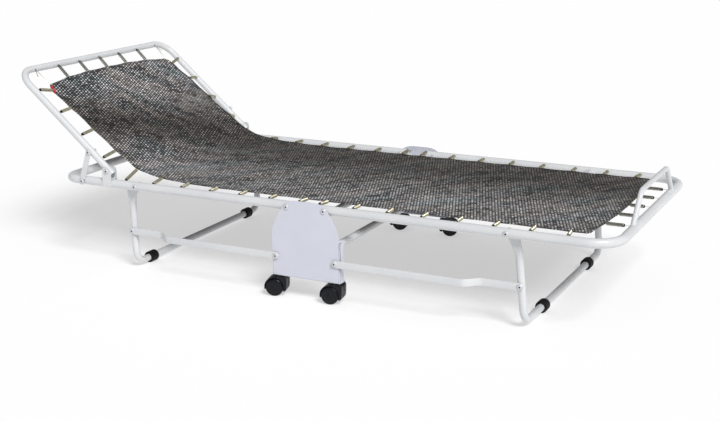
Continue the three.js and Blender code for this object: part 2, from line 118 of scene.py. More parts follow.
class Shader:
    """A node material with short helpers; constants go straight onto the Principled sockets."""

    def __init__(self, name, **constants):
        self.material = bpy.data.materials.new(name)
        self.material.use_nodes = True
        self.tree = self.material.node_tree
        self.bsdf = self.tree.nodes["Principled BSDF"]
        for socket, value in constants.items():
            self.bsdf.inputs[socket.replace("_", " ")].default_value = value

    def node(self, kind, **settings):
        made = self.tree.nodes.new(kind)
        for key, value in settings.items():
            setattr(made, key, value)
        return made

    def feed(self, socket, value):
        if isinstance(value, bpy.types.NodeSocket):
            self.tree.links.new(value, socket)
        else:
            socket.default_value = value

    def feed_all(self, made, **values):
        for socket, value in values.items():
            self.feed(made.inputs[socket], value)

    def math(self, operation, a, b=0.0, c=0.0):
        made = self.node("ShaderNodeMath", operation=operation)
        for socket, value in zip(made.inputs, (a, b, c)):
            self.feed(socket, value)
        return made.outputs[0]

    def weighted(self, *parts):
        """The sum of (value, weight) pairs."""
        total = 0.0
        for value, weight in parts:
            total = self.math("MULTIPLY_ADD", value, weight, total)
        return total

    def place(self, uv=False):
        return self.node("ShaderNodeTexCoord").outputs["UV" if uv else "Object"]

    def mapped(self, vector, **settings):
        made = self.node("ShaderNodeMapping")
        self.feed_all(made, Vector=vector, **settings)
        return made.outputs[0]

    def noise(self, vector, scale, detail=2.0, roughness=0.5):
        made = self.node("ShaderNodeTexNoise")
        self.feed_all(made, Vector=vector, Scale=scale, Detail=detail, Roughness=roughness)
        return made.outputs["Fac"]

    def ramp(self, factor, *stops):
        made = self.node("ShaderNodeValToRGB")
        self.feed(made.inputs["Fac"], factor)
        ramp = made.color_ramp
        while len(ramp.elements) < len(stops):
            ramp.elements.new(0.5)
        for element, (position, colour) in zip(ramp.elements, stops):
            element.position = position
            element.color = (*colour, 1)
        return made.outputs["Color"]

    def span(self, value, low, high, to_low=0.0, to_high=1.0):
        """Maps low..high onto to_low..to_high, clamped."""
        made = self.node("ShaderNodeMapRange")
        for socket, item in zip(made.inputs, (value, low, high, to_low, to_high)):
            self.feed(socket, item)
        return made.outputs["Result"]

    def mix(self, factor, a, b, blend="MIX"):
        made = self.node("ShaderNodeMix", data_type="RGBA", blend_type=blend)
        self.feed(made.inputs["Factor"], factor)
        for socket, value in ((made.inputs["A"], a), (made.inputs["B"], b)):
            self.feed(socket, (*value, 1) if isinstance(value, tuple) else value)
        return made.outputs["Result"]

    def bump(self, height, strength, distance):
        made = self.node("ShaderNodeBump")
        self.feed_all(made, Height=height, Strength=strength, Distance=distance)
        self.feed(self.bsdf.inputs["Normal"], made.outputs["Normal"])

    def colour(self, value):
        self.feed(self.bsdf.inputs["Base Color"], value)

    def roughness(self, value):
        self.feed(self.bsdf.inputs["Roughness"], value)


# ---------- materials

def powder_coat(name, light, shade):
    """Powder coat: fine orange peel, faint cloudy shade and a slightly uneven gloss."""
    s = Shader(name, Coat_Weight=0.18, Coat_Roughness=0.22, Specular_IOR_Level=0.45)
    cloud = s.noise(s.place(), 9.0, 4.0, 0.6)
    s.colour(s.mix(s.span(cloud, 0.35, 0.7), light, shade))
    peel = s.noise(s.place(), 900.0, 2.0)
    s.roughness(s.span(cloud, 0.3, 0.7, 0.34, 0.46))
    s.bump(peel, 0.08, 0.25 * MM)
    return s.material


def zinc(name, light, dark, rough, metallic=0.85):
    """Plated steel: a fine grain and small dull patches."""
    s = Shader(name, Metallic=metallic)
    patch = s.noise(s.place(), 160.0, 4.0, 0.65)
    s.colour(s.mix(s.span(patch, 0.3, 0.72), light, dark))
    s.roughness(s.span(patch, 0.3, 0.7, rough, rough + 0.2))
    s.bump(s.noise(s.place(), 1400.0, 2.0), 0.12, 0.1 * MM)
    return s.material


def moulded_plastic(name, colour, rough, grain):
    """Black moulding: fine spark grain and faint handling marks."""
    s = Shader(name, Specular_IOR_Level=0.26)
    marks = s.noise(s.place(), 45.0, 5.0, 0.7)
    lighter = tuple(channel * 1.8 + 0.002 for channel in colour)
    s.colour(s.mix(s.span(marks, 0.5, 0.8), colour, lighter))
    s.roughness(s.span(marks, 0.3, 0.75, rough, rough + 0.16))
    s.bump(s.noise(s.place(), grain, 2.0), 0.16, 0.15 * MM)
    return s.material


def sling_mesh():
    """Woven mesh: raised yarn dashes in slanting streaks, with painted light by the head edge and on the
    near side, and painted shade along the backrest's bend.

    The UV map holds metres: U along the cot and V across it. The vertex attribute "hem" is 1 on the hems.
    """
    pitch_along, pitch_across, seed = 8.6 * MM, 11.2 * MM, 3.0
    streak_turn = radians(-50)
    s = Shader("sling_mesh", Specular_IOR_Level=0.2, Sheen_Weight=0.06, Sheen_Roughness=0.5)
    uv = s.place(uv=True)
    split = s.node("ShaderNodeSeparateXYZ")
    s.feed(split.inputs[0], uv)
    along, across = split.outputs[0], split.outputs[1]

    # Dashes in rows, each row shifted by half a pitch: a random number for each, and a mask with its peak
    # in the middle of each.
    row = s.math("DIVIDE", across, pitch_across)
    row_index = s.math("FLOOR", row)
    column = s.math("ADD", s.math("DIVIDE", along, pitch_along), s.math("MULTIPLY", row_index, 0.5))
    key = s.node("ShaderNodeCombineXYZ")
    for socket, value in zip(key.inputs, (s.math("FLOOR", column), row_index, seed)):
        s.feed(socket, value)
    random_number = s.node("ShaderNodeTexWhiteNoise", noise_dimensions="3D")
    s.feed(random_number.inputs["Vector"], key.outputs[0])
    pick = random_number.outputs["Value"]
    waves = [s.math("SINE", s.math("MULTIPLY", s.math("FRACT", place), pi)) for place in (column, row)]
    peak = s.math("MULTIPLY", *waves)

    slant = s.mapped(uv, Rotation=(0, 0, streak_turn))

    def streaks(along_streak, across_streak, detail=2.0):
        """Noise drawn out along the streaks; the numbers are features to the metre."""
        return s.noise(s.mapped(slant, Scale=(along_streak, across_streak, 1)), 1.0, detail)

    band = s.weighted((streaks(9.0, 28.0), 0.6), (streaks(2.4, 8.0), 0.4))
    lit = s.span(s.weighted((streaks(20.0, 60.0, 1.0), 0.8), (band, 0.8), (pick, 0.5)), 0.76, 1.42)
    ground = s.ramp(band, (0.36, (0.004, 0.0038, 0.0038)), (0.50, (0.021, 0.0205, 0.0205)),
                    (0.64, (0.046, 0.046, 0.046)))
    yarn = s.ramp(lit, (0.0, (0.05, 0.048, 0.047)), (0.5, (0.30, 0.295, 0.29)), (1.0, (0.52, 0.515, 0.51)))
    hue = s.ramp(streaks(4.5, 14.0), (0.30, (0.86, 0.99, 0.99)), (0.44, (0.98, 0.98, 1.0)),
                 (0.56, (1.05, 0.98, 0.95)), (0.70, (1.01, 1.0, 0.92)))

    # Painted light and shade: a painted shade line slants across the backrest's foot, where the sling
    # bends, and the far side stays painted dark beyond it; painted light brightens the head edge and the
    # near side.
    past_painted_shade_line = s.math("SUBTRACT", along, s.math("MULTIPLY_ADD", across, 0.30, 0.30))
    painted_head_light = s.span(past_painted_shade_line, -0.20, -0.04, 1.0, 0.0)
    painted_near_light = s.math("MULTIPLY", s.span(past_painted_shade_line, 0.0, 0.14), s.span(across, -0.16, 0.16, 1.0, 0.0))
    painted_light_and_shade = s.ramp(s.math("ADD", painted_head_light, painted_near_light), (0.0, (0.56, 0.53, 0.51)), (1.0, (1.76, 1.78, 1.82)))

    woven = s.mix(s.span(peak, 0.45, 0.72), ground, yarn)
    # Multiply in the random hue tint, then the painted light and shade.
    for tint in (hue, painted_light_and_shade):
        woven = s.mix(1.0, woven, tint, "MULTIPLY")
    hem = s.node("ShaderNodeAttribute", attribute_name="hem").outputs["Fac"]
    s.colour(s.mix(s.math("MULTIPLY", hem, 0.4), woven, (0.030, 0.029, 0.028)))
    s.roughness(s.span(pick, 0.0, 1.0, 0.55, 0.8))
    s.bump(peak, 0.7, 0.8 * MM)
    return s.material


WHITE = powder_coat("white_coat", (0.68, 0.69, 0.70), (0.62, 0.63, 0.65))
GREY = powder_coat("plate_coat", (0.63, 0.65, 0.73), (0.60, 0.62, 0.70))
BOLT = zinc("bolt_zinc", (0.66, 0.67, 0.70), (0.58, 0.59, 0.62), 0.42, 0.35)
SPRING = zinc("spring_zinc", (0.62, 0.58, 0.42), (0.34, 0.32, 0.24), 0.30)
STEEL = zinc("spring_steel", (0.46, 0.45, 0.39), (0.24, 0.235, 0.20), 0.32)
# Near-black material: painted shade inside spring holes, bolt sockets and screw recesses, and the colour of
# the dark spring plugs and eyelets.
PAINTED_SHADE_AND_DARK_PARTS = moulded_plastic("painted_recess_shade_and_dark_parts", (0.012, 0.012, 0.013), 0.7, 300.0)
RUBBER = moulded_plastic("rubber_black", (0.002, 0.002, 0.0025), 0.5, 700.0)
PLASTIC = moulded_plastic("caster_black", (0.0025, 0.003, 0.0055), 0.24, 1200.0)
MESH = sling_mesh()
TAG = moulded_plastic("tag_red", (0.42, 0.025, 0.035), 0.7, 800.0)


# ---------- mesh building

def added(name, data):
    """A new object in the scene."""
    made = bpy.data.objects.new(name, data)
    bpy.context.scene.collection.objects.link(made)
    return made


def meshed(name, bm):
    """A new object made from a bmesh, which is freed."""
    mesh = bpy.data.meshes.new(name)
    bm.to_mesh(mesh)
    bm.free()
    return added(name, mesh)


def facing(point, outward):
    """A placement whose local Z axis points outward from a point."""
    return Matrix.Translation(point) @ outward.to_track_quat("Z", "Y").to_matrix().to_4x4()


def modify(made, kind, **settings):
    modifier = made.modifiers.new(kind.lower(), kind)
    for key, value in settings.items():
        setattr(modifier, key, value)


def piece(name, bm, materials, body=None, stands_for=None, flat_faces=False):
    """Turns a bmesh into a smooth-shaded object with sharp creases, and hands it to its body."""
    bmesh.ops.recalc_face_normals(bm, faces=bm.faces)
    for face in bm.faces:
        face.smooth = True
    for edge in bm.edges:
        edge.smooth = len(edge.link_faces) == 2 and edge.calc_face_angle(0.0) < radians(38)
    made = meshed(name, bm)
    materials = materials if isinstance(materials, list) else [materials]
    for material in materials:
        made.data.materials.append(material)
    if flat_faces:
        modify(made, "WEIGHTED_NORMAL", keep_sharp=True)
    if body:
        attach(made, body)
    if stands_for:
        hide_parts(stands_for)
    return made


def rounded_path(corners, bend, steps=12):
    """The points of a path through the corners, each rounded to the bend radius."""
    path = [corners[0]]
    for before, corner, after in zip(corners, corners[1:], corners[2:]):
        back = (before - corner).normalized()
        ahead = (after - corner).normalized()
        half = back.angle(ahead) / 2
        centre = corner + (back + ahead).normalized() * (bend / sin(half))
        start = corner + back * (bend / tan(half)) - centre
        end = corner + ahead * (bend / tan(half)) - centre
        axis = start.cross(end).normalized()
        turn = start.angle(end)
        path += [centre + Matrix.Rotation(turn * i / steps, 3, axis) @ start for i in range(steps + 1)]
    return path + [corners[-1]]


def bridge(bm, rings, closed_ends=False, loop=False):
    """Quads between consecutive rings of vertices."""
    pairs = list(zip(rings, rings[1:])) + ([(rings[-1], rings[0])] if loop else [])
    for ring, following in pairs:
        for i in range(len(ring)):
            j = (i + 1) % len(ring)
            bm.faces.new((ring[i], ring[j], following[j], following[i]))
    if closed_ends:
        bm.faces.new(rings[0][::-1])
        bm.faces.new(rings[-1])


def tangents(path):
    last = len(path) - 1
    return [(path[min(i + 1, last)] - path[max(i - 1, 0)]).normalized() for i in range(len(path))]


def circle(radius, count):
    turns = [2 * pi * i / count for i in range(count)]
    return [(radius * cos(a), radius * sin(a)) for a in turns]


def ring_at(bm, centre, across, upward, radius, count):
    return [bm.verts.new(centre + across * x + upward * y) for x, y in circle(radius, count)]


def hollow_tube(bm, path, normal, radius, wall=TUBE_WALL, count=36):
    """An open tube with rounded end lips, along a path in a plane; normal is square to the plane."""
    lip = wall * 0.3
    ways = tangents(path)

    def rings(inset, trim):
        made = []
        for i, (point, way) in enumerate(zip(path, ways)):
            shift = way * (trim if i == 0 else -trim if i == len(path) - 1 else 0)
            made.append(ring_at(bm, point + shift, normal, way.cross(normal), radius - inset, count))
        return made

    outer, bore = rings(0, lip), rings(wall, lip)
    lips = [[ring_at(bm, path[i], normal, ways[i].cross(normal), radius - inset, count)
             for inset in (lip, wall - lip)] for i in (0, -1)]
    bridge(bm, [lips[0][1], lips[0][0], *outer, lips[1][0], lips[1][1], *bore[::-1]], loop=True)


def lathe(bm, profile, place, count=32, material=None):
    """Turns (radius, height) pairs about the local Z axis, then puts the result in place."""
    rings = []
    for radius, height in profile:
        if radius < 1e-7:
            rings.append([bm.verts.new(place @ Vector((0, 0, height)))])
        else:
            rings.append([bm.verts.new(place @ Vector((x, y, height))) for x, y in circle(radius, count)])
    for index, (ring, following) in enumerate(zip(rings, rings[1:])):
        for i in range(count):
            j = (i + 1) % count
            corners = [ring[i % len(ring)], ring[j % len(ring)],
                       following[j % len(following)], following[i % len(following)]]
            face = bm.faces.new(list(dict.fromkeys(corners)))
            face.material_index = material[index] if material else 0


def pressed(bm, outline, place, low, high, bevel, segments=3):
    """A flat outline of (x, y) pairs given a thickness along local Z, with rounded edges."""
    verts = [bm.verts.new(place @ Vector((x, y, low))) for x, y in outline]
    base = bm.faces.new(verts)
    grown = bmesh.ops.extrude_face_region(bm, geom=[base])["geom"]
    top = [v for v in grown if isinstance(v, bmesh.types.BMVert)]
    shift = place.to_3x3() @ Vector((0, 0, high - low))
    bmesh.ops.translate(bm, verts=top, vec=shift)
    own = set(verts) | set(top)
    edges = [e for e in bm.edges if e.verts[0] in own and e.verts[1] in own
             and len(e.link_faces) == 2 and e.calc_face_angle(0.0) > radians(50)]
    bmesh.ops.bevel(bm, geom=edges, offset=bevel, segments=segments, profile=0.5, affect="EDGES",
                    clamp_overlap=True)


def in_mm(*pairs):
    return [(a * MM, b * MM) for a, b in pairs]


def arc(centre_x, centre_y, radius, start, end, steps):
    """Points of an arc between two angles in degrees."""
    turns = [radians(start + (end - start) * i / steps) for i in range(steps + 1)]
    return [(centre_x + radius * cos(a), centre_y + radius * sin(a)) for a in turns]


def curve(start, pull_a, pull_b, end, steps):
    """Points of a cubic curve, without its first one."""
    made = []
    for i in range(1, steps + 1):
        t = i / steps
        weights = ((1 - t) ** 3, 3 * t * (1 - t) ** 2, 3 * t * t * (1 - t), t ** 3)
        made.append(tuple(sum(w * p[axis] for w, p in zip(weights, (start, pull_a, pull_b, end)))
                          for axis in (0, 1)))
    return made


# An outline drawn in X and Z: its local Z axis points along -Y.
UPRIGHT = Matrix(((1, 0, 0, 0), (0, 0, -1, 0), (0, 1, 0, 0), (0, 0, 0, 1)))


# ---------- tubes

UP = Vector((0, 0, 1))


def spring_hole(bm, point, outward):
    """A dark disc sunk into a tube's wall: painted shade standing for the inside of a small hole."""
    lathe(bm, in_mm((0, -0.6), (1.9, -0.6), (1.9, 0.12), (0, 0.2)), facing(point, outward), 12, [1, 1, 1])


# Springs hook into holes on the inner upper side of the tubes, turned this far up from level.
HOLE_TILT = radians(40)


def hole_at(centre, inward, above, radius, tilt=HOLE_TILT):
    """(point, outward direction) of a spring hole in a tube, turned up from its inner side."""
    outward = inward * cos(tilt) + above * sin(tilt)
    return centre + outward * radius, outward


def rail_hole(x, side, tilt=HOLE_TILT):
    return hole_at(Vector((x, side * RAIL_Y, RAIL_Z)), Vector((0, -side, 0)), UP, RAIL_R, tilt)


def crossbar_hole(y):
    return hole_at(Vector((FRAME_END_X["foot"], y, RAIL_Z)), Vector((-1, 0, 0)), UP, RAIL_R)


def back_side_hole(up, side):
    return hole_at(on_backrest(up, 0, side * BACK_Y), Vector((0, -side, 0)), BACK_ABOVE, BACK_R)


def back_top_hole(y):
    return hole_at(on_backrest(BACK_LENGTH, 0, y), -BACK_ALONG, BACK_ABOVE, BACK_R)


SPRING_FROM_FOLD = 25.5 * MM           # the first hole is this far inside each fold pivot
RAIL_PITCH = {"head": 95.7 * MM, "foot": 97.7 * MM}
RAIL_SPRINGS = {"head": 7, "foot": 8}
RAIL_HOLES = {
    end: [FOLD[end].x + sign * (RAIL_PITCH[end] * i - SPRING_FROM_FOLD) for i in range(RAIL_SPRINGS[end])]
    for end, sign in ENDS.items()
}
FOLD_TILT = radians(66)                # the holes in the rails' open ends sit higher
CROSSBAR_HOLES = [102 * MM * i for i in (-2, -1, 0, 1, 2)]
BACK_SIDE_HOLES = [(42.5 + 95.2 * i) * MM for i in range(4)]
BACK_TOP_HOLES = [99.5 * MM * i for i in (-2, -1, 0, 1, 2)]
CORNER_WIRE_Y = 303 * MM


def rail_tilt(index):
    return FOLD_TILT if index == 0 else HOLE_TILT


def half_frame(end):
    bm = bmesh.new()
    corners = [Vector((x, y, RAIL_Z)) for x, y in (
        (FRAME_OPEN_X[end], -RAIL_Y), (FRAME_END_X[end], -RAIL_Y),
        (FRAME_END_X[end], RAIL_Y), (FRAME_OPEN_X[end], RAIL_Y))]
    hollow_tube(bm, rounded_path(corners, FRAME_BEND[end]), UP, RAIL_R)
    for side in SIDES.values():
        for i, x in enumerate(RAIL_HOLES[end]):
            spring_hole(bm, *rail_hole(x, side, rail_tilt(i)))
    if end == "foot":
        for y in CROSSBAR_HOLES:
            spring_hole(bm, *crossbar_hole(y))
    piece(f"{end}_frame_tube", bm, [WHITE, PAINTED_SHADE_AND_DARK_PARTS], f"{end}_half", f"{end}_half_frame")


def backrest_frame():
    bm = bmesh.new()
    corners = [on_backrest(up, 0, y) for up, y in (
        (-BACK_OVERRUN, -BACK_Y), (BACK_LENGTH, -BACK_Y), (BACK_LENGTH, BACK_Y), (-BACK_OVERRUN, BACK_Y))]
    hollow_tube(bm, rounded_path(corners, BACK_BEND), BACK_ABOVE, BACK_R, THIN_WALL)
    for side in SIDES.values():
        for up in BACK_SIDE_HOLES:
            spring_hole(bm, *back_side_hole(up, side))
        spring_hole(bm, *back_top_hole(side * CORNER_WIRE_Y))
    for y in BACK_TOP_HOLES:
        spring_hole(bm, *back_top_hole(y))
    piece("backrest_tube", bm, [WHITE, PAINTED_SHADE_AND_DARK_PARTS], "backrest", "backrest_frame")


def cross_tube(end):
    node = f"cross_tube_{end}"
    low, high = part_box(node)
    at = middle(node)
    bm = bmesh.new()
    hollow_tube(bm, [Vector((at.x, y, at.z)) for y in (low.y, at.y, high.y)], UP, THIN_R, THIN_WALL)
    piece(f"{node}_coated", bm, WHITE, "root", node)


LEG_BEND = 38 * MM
EAR_R = 13 * MM
EAR_CROWN = 10 * MM                    # height of the ear above its bolt
EAR_HALF = 1.7 * MM                    # half the thickness of a leg's flattened end
EAR_PROUD = 0.7 * MM                   # how far the ear stands out past the round tube
PINCH_FROM = 186 * MM                  # height where the round leg tube starts to flatten
PINCH_TO = 236 * MM                    # height where it is flat
TUBE_SIDES = 36


def ease(value, low, high):
    """A smooth step from 0 at low to 1 at high."""
    t = min(1.0, max(0.0, (value - low) / (high - low)))
    return t * t * (3 - 2 * t)


def superellipse(turn, power):
    c, s = cos(turn), sin(turn)
    return copysign(abs(c) ** (2 / power), c), copysign(abs(s) ** (2 / power), s)


def leg_ear(bm, side, sign, centre_x, tube_y, ear_y, top, steps=18):
    """Rings from the round tube up to the rounded top of its flattened end."""
    ear_top = top.z + EAR_CROWN
    rings = []
    for i in range(1, steps + 1):
        z = PINCH_FROM + (ear_top - PINCH_FROM) * sin(pi / 2 * i / steps)
        press = ease(z, PINCH_FROM, PINCH_TO)
        crown = EAR_R * sqrt(max(1 - (max(z - top.z, 0.0) / EAR_CROWN) ** 2, 0.0))
        past = max(0.0, (z - PINCH_TO) / (ear_top - PINCH_TO))
        outer = sign * centre_x(min(z, PINCH_TO)) + THIN_R
        outer += (sign * top.x + 0.3 * EAR_R - outer) * past ** 1.5
        inner = sign * centre_x(z) - THIN_R
        risen = min(1.0, max(0.0, z - PINCH_FROM) / (top.z - PINCH_FROM))
        inner += (sign * top.x - crown - inner) * risen ** 2
        half_x = max((outer - inner) / 2, 0.6 * MM)
        half_y = THIN_R + (EAR_HALF - THIN_R) * press
        mid = Vector((sign * (outer + inner) / 2, side * (tube_y + (ear_y - tube_y) * press), z))
        corners = (superellipse(2 * pi * k / TUBE_SIDES, 2 + 3 * press) for k in range(TUBE_SIDES))
        rings.append([bm.verts.new(mid + Vector((half_x * cx, side * half_y * cy, 0)))
                      for cx, cy in corners])
    return rings


def leg(end):
    """A bent tube whose ends are pressed flat into ears for the pivot bolts in the rails."""
    sleeve = f"{end}_leg_sleeve_left"
    foot = Vector((middle(sleeve).x, 0, extent(sleeve).z / 2))
    lean = (middle(f"{end}_leg_link_bolt_left").x - foot.x) / (LINK_Z - foot.z)
    ear_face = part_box(f"{end}_leg")[1].y
    tube_y = ear_face - EAR_PROUD - THIN_R

    def centre_x(z):
        return foot.x + lean * (z - foot.z)

    start = [Vector((centre_x(PINCH_FROM), side * tube_y, PINCH_FROM)) for side in (-1, 1)]
    corners = [start[0], foot + Vector((0, -tube_y, 0)), foot + Vector((0, tube_y, 0)), start[1]]
    path = rounded_path(corners, LEG_BEND, 14)
    normal = Vector((1, 0, -lean)).normalized()
    bm = bmesh.new()
    bow = [ring_at(bm, point, normal, way.cross(normal), THIN_R, TUBE_SIDES)
           for point, way in zip(path, tangents(path))]
    ears = [leg_ear(bm, side, ENDS[end], centre_x, tube_y, ear_face - EAR_HALF, LEG_TOP[end])
            for side in (-1, 1)]
    bridge(bm, [*ears[0][::-1], *bow, *ears[1]], closed_ends=True)
    piece(f"{end}_leg_tube", bm, WHITE, f"{end}_leg", f"{end}_leg")


def mattress_hoop():
    """A bent tube standing on the foot crossbar, with a weld bead round each end."""
    at = middle("mattress_hoop")
    radius = extent("mattress_hoop").x / 2
    foot_y, corner_y = 218 * MM, 138 * MM
    top_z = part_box("mattress_hoop")[1].z - radius
    corners = [Vector((at.x, y, z)) for y, z in (
        (-foot_y, RAIL_Z), (-corner_y, top_z), (corner_y, top_z), (foot_y, RAIL_Z))]
    bm = bmesh.new()
    path = rounded_path(corners, 34 * MM, 14)
    for index, follow in ((0, 1), (-1, -2)):           # the ends stop just inside the crossbar's wall
        path[index] = path[index] + (path[follow] - path[index]).normalized() * (RAIL_R - 1.0 * MM)
    hollow_tube(bm, path, Vector((1, 0, 0)), radius, THIN_WALL, 28)
    bead = [(radius + out, up) for out, up in in_mm((1.6, -1.2), (1.2, 0.8), (0.2, 2.4))]
    weld = [(radius * 0.9, -1.5 * MM), *bead, (radius * 0.9, 2.6 * MM)]
    for foot, corner in ((corners[0], corners[1]), (corners[3], corners[2])):
        way = (corner - foot).normalized()
        lathe(bm, weld, facing(foot + way * (RAIL_R - 0.6 * MM), way), 28)
    piece("mattress_hoop_tube", bm, WHITE, "foot_half", "mattress_hoop")


for end in ENDS:
    half_frame(end)
    cross_tube(end)
    leg(end)
backrest_frame()
mattress_hoop()


# ---------- plates, bars and brackets

def upright_plate(bm, outline, from_y, to_y, bevel):
    """An outline in X and Z given a thickness between two values of Y."""
    pressed(bm, outline, UPRIGHT, -max(from_y, to_y), -min(from_y, to_y), bevel)


PLATE_SHEET = 2.5 * MM
PLATE_FOLD_R = 3.2 * MM
PLATE_SHOULDER_Z = 180 * MM
SIDE_FLANGE = {"depth": 22 * MM, "top": 172 * MM}
BOTTOM_FLANGE = 34 * MM


def side_plate(name, side):
    """A pressed sheet with a rounded top, and flanges folded back along its sides and bottom."""
    node = f"side_plate_{name}"
    low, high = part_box(node)
    half_width = (high.x - low.x) / 2
    face_y = side * max(abs(low.y), abs(high.y))
    shoulder = (half_width, PLATE_SHOULDER_Z)
    crown = (67 * MM, 256 * MM)
    right = [(half_width, low.z), (half_width, SIDE_FLANGE["top"]), shoulder]
    right += curve(shoulder, (half_width, 198 * MM), (78 * MM, 238 * MM), crown, 14)
    right += curve(crown, (60 * MM, 268 * MM), (44 * MM, high.z), (20 * MM, high.z), 10)
    right.append((0, high.z))
    outline = right + [(-x, z) for x, z in right[-2::-1]]
    bm = bmesh.new()
    front = [bm.verts.new((CENTRE_X + x, face_y, z)) for x, z in outline]
    bm.faces.new(front)
    folds = []

    def flange(a, b, depth):
        back = Vector((0, -side * depth, 0))
        bm.faces.new((a, b, bm.verts.new(b.co + back), bm.verts.new(a.co + back)))
        folds.append(bm.edges.get((a, b)))

    flange(front[0], front[1], SIDE_FLANGE["depth"])
    flange(front[-1], front[-2], SIDE_FLANGE["depth"])
    flange(front[0], front[-1], BOTTOM_FLANGE)
    bmesh.ops.bevel(bm, geom=folds, offset=PLATE_FOLD_R, segments=5, profile=0.5, affect="EDGES")
    bmesh.ops.recalc_face_normals(bm, faces=bm.faces)
    broad = sorted(bm.faces, key=lambda f: -f.calc_area())[:4]
    if broad[0].normal.y * side < 0:
        bmesh.ops.reverse_faces(bm, faces=bm.faces)
    bmesh.ops.inset_individual(bm, faces=broad, thickness=1.5 * MM)
    for face in bm.faces:
        face.smooth = True
    made = meshed(f"{node}_pressing", bm)
    made.data.materials.append(GREY)
    modify(made, "SOLIDIFY", thickness=PLATE_SHEET, offset=-1, use_even_offset=True)
    modify(made, "BEVEL", width=0.6 * MM, segments=3, limit_method="ANGLE", angle_limit=radians(55))
    modify(made, "WEIGHTED_NORMAL", keep_sharp=True)
    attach(made, "root")
    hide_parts(node)


def hinge_bracket(name):
    """A channel over the rail, whose two cheeks hold the backrest's hinge bolt."""
    node = f"hinge_bracket_{name}"
    low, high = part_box(node)
    sheet = 2.2 * MM
    corner, foot = 11 * MM, 3 * MM
    outline = [
        *arc(low.x + foot, low.z + foot, foot, 180, 270, 4),
        *arc(high.x - foot, low.z + foot, foot, 270, 360, 4),
        *arc(high.x - corner, high.z - corner, corner, 0, 90, 8),
        *arc(low.x + corner, high.z - corner, corner, 90, 180, 8),
    ]
    bm = bmesh.new()
    for y in (low.y, high.y - sheet):
        upright_plate(bm, outline, y, y + sheet, 0.5 * MM)
    web_z = RAIL_Z + RAIL_R + 0.4 * MM
    web = [(low.x, web_z), (high.x, web_z), (high.x, web_z + sheet), (low.x, web_z + sheet)]
    upright_plate(bm, web, low.y + 1 * MM, high.y - 1 * MM, 0.4 * MM)
    piece(f"{node}_channel", bm, WHITE, "head_half", node, flat_faces=True)


def prop(name):
    """A flat bar, rounded at the top where its bolt goes, with a side notch that hooks on the rail's pin.
    """
    node = f"prop_{name}"
    low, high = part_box(node)
    reach = Vector((PROP_PIN.x - PROP_TOP.x, 0, PROP_PIN.z - PROP_TOP.z))
    along = reach.normalized()
    beside = Vector((-along.z, 0, along.x))
    half, tail, mouth_r, lean = 8.5 * MM, 11 * MM, 4.9 * MM, radians(24)
    length = reach.length

    def mouth(sign):
        reach_out = (half - sign * mouth_r * sin(lean)) / cos(lean)
        return (length + sign * mouth_r * cos(lean) - reach_out * sin(lean), half)

    notch = arc(length, 0, mouth_r, degrees(lean), degrees(lean) - 180, 10)
    outline = [
        *arc(0, 0, half, 90, 270, 14),
        *arc(length + tail - half, 0, half, -90, 90, 14),
        mouth(1), *notch, mouth(-1),
    ]
    placed = [(PROP_TOP.x + along.x * u + beside.x * v, PROP_TOP.z + along.z * u + beside.z * v)
              for u, v in outline]
    bm = bmesh.new()
    upright_plate(bm, placed, low.y, high.y, 0.6 * MM)
    piece(f"{node}_bar", bm, WHITE, "props", node, flat_faces=True)


JOGGLE = {"from": 147 * MM, "to": 97 * MM}             # distances back from the leg bolt


def link_bar(end, name, side):
    """A flat bar with round ends, which steps inwards on its way from the plate to the leg."""
    node = f"{end}_link_bar_{name}"
    low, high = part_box(node)
    sign = ENDS[end]
    half_z = (high.z - low.z) / 2
    thick = 3 * MM
    plate_y = side * (max(abs(low.y), abs(high.y)) - thick / 2)
    leg_y = side * (min(abs(low.y), abs(high.y)) + thick / 2)
    start_x, end_x = (low.x, high.x) if sign > 0 else (high.x, low.x)
    length = abs(end_x - start_x)
    round_end = [half_z * (1 - cos(radians(a))) for a in (8, 18, 30, 42, 55, 68, 80, 90)]
    step_from, step_to = length - half_z - JOGGLE["from"], length - half_z - JOGGLE["to"]
    joggle = [step_from + (step_to - step_from) * i / 12 for i in range(13)]
    stations = round_end + joggle + [length - a for a in round_end[::-1]]
    round_r, corners = 0.8 * MM, ((1, 1), (-1, 1), (-1, -1), (1, -1))
    bm = bmesh.new()
    rings = []
    for at in stations:
        inset = max(half_z - at, half_z - (length - at), 0.0)
        tall = max(sqrt(max(half_z ** 2 - inset ** 2, 0.0)), 1.2 * MM)
        y = plate_y + (leg_y - plate_y) * ease(at, step_from, step_to)
        section = []
        for quarter, (cy, cz) in enumerate(corners):
            section += arc(y + cy * (thick / 2 - round_r), LINK_Z + cz * (tall - round_r), round_r,
                           90 * quarter, 90 * quarter + 90, 3)
        rings.append([bm.verts.new((start_x + sign * at, out, up)) for out, up in section])
    bridge(bm, rings, closed_ends=True)
    piece(f"{node}_coated", bm, WHITE, f"{end}_links", node)


# ---------- bolts, sleeves and casters

